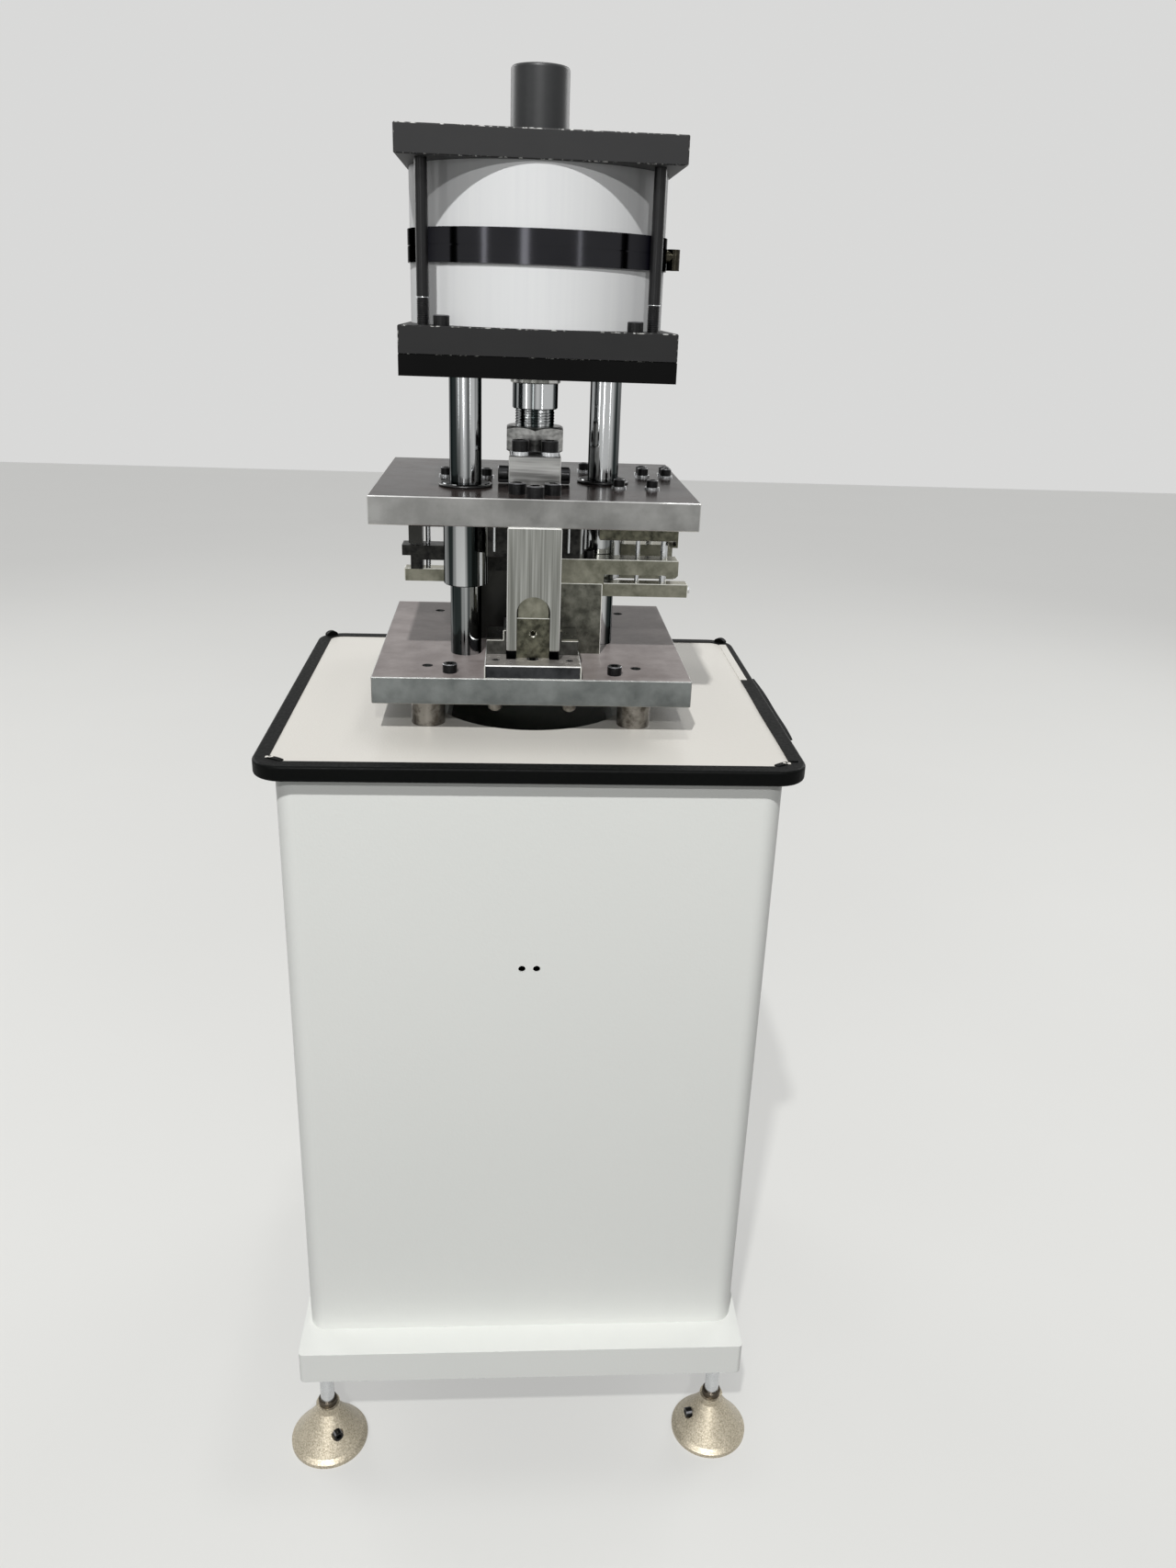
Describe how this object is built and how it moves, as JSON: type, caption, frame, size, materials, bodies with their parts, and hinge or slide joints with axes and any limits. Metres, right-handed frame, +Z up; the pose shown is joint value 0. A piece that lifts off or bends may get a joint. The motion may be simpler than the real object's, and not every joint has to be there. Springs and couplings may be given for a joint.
{
  "type": "window profile punching press",
  "caption": "Pneumatic punching press for window profiles: a die set on two posts under a tandem air cylinder, on a sheet metal cabinet with levelling feet.",
  "frame": {"origin": "on the floor, under the middle of the cabinet and of the four feet", "axes": "+X to the operator's right, +Y to the back, +Z up along the ram's stroke"},
  "size_m": [0.602, 0.5979, 1.621],
  "materials": {
    "cast_bell": "champagne coloured cast metal, satin",
    "zinc_steel": "bright zinc plated",
    "black_screw": "black oxide",
    "cabinet_paint": "off-white powder coat, fine texture",
    "table_paint": "warm white powder coat, fine texture",
    "trim_rubber": "black rubber edging",
    "bin_sheet": "galvanised sheet",
    "hinge_black": "black coated",
    "lock_zinc": "plated",
    "spacer_steel": "turned steel, lightly stained",
    "ground_steel": "ground tool steel with soft marks",
    "post_chrome": "ground and polished shaft",
    "dark_base": "ground steel, dark front face",
    "tool_steel": "hardened tool steel, olive tint",
    "block_steel": "hardened tool steel, mottled",
    "black_tool": "black oxide tool steel",
    "milled_steel": "milled steel, vertical marks",
    "black_head": "satin black, bright worn edges",
    "black_adapter": "black, rough edges",
    "barrel_aluminium": "light anodised, matt",
    "black_flange": "gloss black",
    "black_rod": "black coated",
    "cap_black": "matt black",
    "brass_fitting": "nickel plated brass",
    "piston_metal": "turned",
    "seal_rubber": "black nitrile"
  },
  "bodies": {
    "frame": {"foot_bells": "cast_bell", "foot_lock_screws": "black_screw", "foot_studs": "zinc_steel", "foot_jam_nuts": "zinc_steel", "plinth_frame": "cabinet_paint", "cabinet_shell": "cabinet_paint", "cabinet_hinge_leaves": "hinge_black", "hinge_pins": "zinc_steel", "scrap_bin": "bin_sheet", "table_bearers": "cabinet_paint", "table_tray": "table_paint", "table_edge_trim": "trim_rubber", "die_set_spacers": "spacer_steel", "die_set_bolts": "zinc_steel", "lower_die_plate": "ground_steel", "lower_plate_screws": "black_screw", "guide_posts": "post_chrome", "front_die_base": "dark_base", "notching_anvil": "tool_steel", "anvil_holder": "ground_steel", "side_tool_blocks": "block_steel", "side_die_bars": "tool_steel", "die_bar_screw": "zinc_steel", "right_front_guide_plate": "tool_steel", "left_guide_plate": "black_tool", "right_rear_guide_plate": "tool_steel", "guide_plate_screws": "black_screw", "adapter_plate": "black_adapter", "cylinder_screws": "black_screw", "cylinder_lower_head": "black_head", "rod_gland": "milled_steel", "cylinder_barrels": "barrel_aluminium", "middle_flange": "black_flange", "air_elbow": "brass_fitting", "cylinder_upper_head": "black_head", "tie_rods": "black_rod", "tie_rod_nuts": "black_screw", "top_cap": "cap_black"},
    "ram": {"upper_die_plate": "ground_steel", "guide_bushes": "post_chrome", "coupling_block": "milled_steel", "upper_plate_screws": "black_screw", "screw_washers": "zinc_steel", "piston_rod": "post_chrome", "pistons": "piston_metal", "piston_seals": "seal_rubber", "distance_sleeve": "milled_steel", "rod_nuts": "milled_steel", "notch_punch_block": "milled_steel", "punch_backing_block": "black_tool", "centring_pins": "zinc_steel", "right_front_punch_holder": "black_tool", "left_punch_holder": "block_steel", "right_rear_punch_holder": "black_tool", "side_punches": "zinc_steel"},
    "door": {"door_panel": "cabinet_paint", "door_lock_body": "lock_zinc", "door_hinge_leaves": "hinge_black"},
    "door_lock": {"door_lock_handle": "lock_zinc", "door_lock_cam": "zinc_steel"}
  },
  "joints": [
    {"name": "ram_slide", "type": "slide", "parent": "frame", "child": "ram", "axis": [0, 0, 1], "range_m": [0, 0.03]},
    {"name": "door_hinge", "type": "hinge", "parent": "frame", "child": "door", "pos_m": [-0.276, 0.199, 0.553], "axis": [0, 0, -1], "range_deg": [0, 110]},
    {"name": "door_lock_turn", "type": "hinge", "parent": "door", "child": "door_lock", "pos_m": [-0.27, -0.172, 0.553], "axis": [-1, 0, 0], "range_deg": [0, 90]}
  ]
}
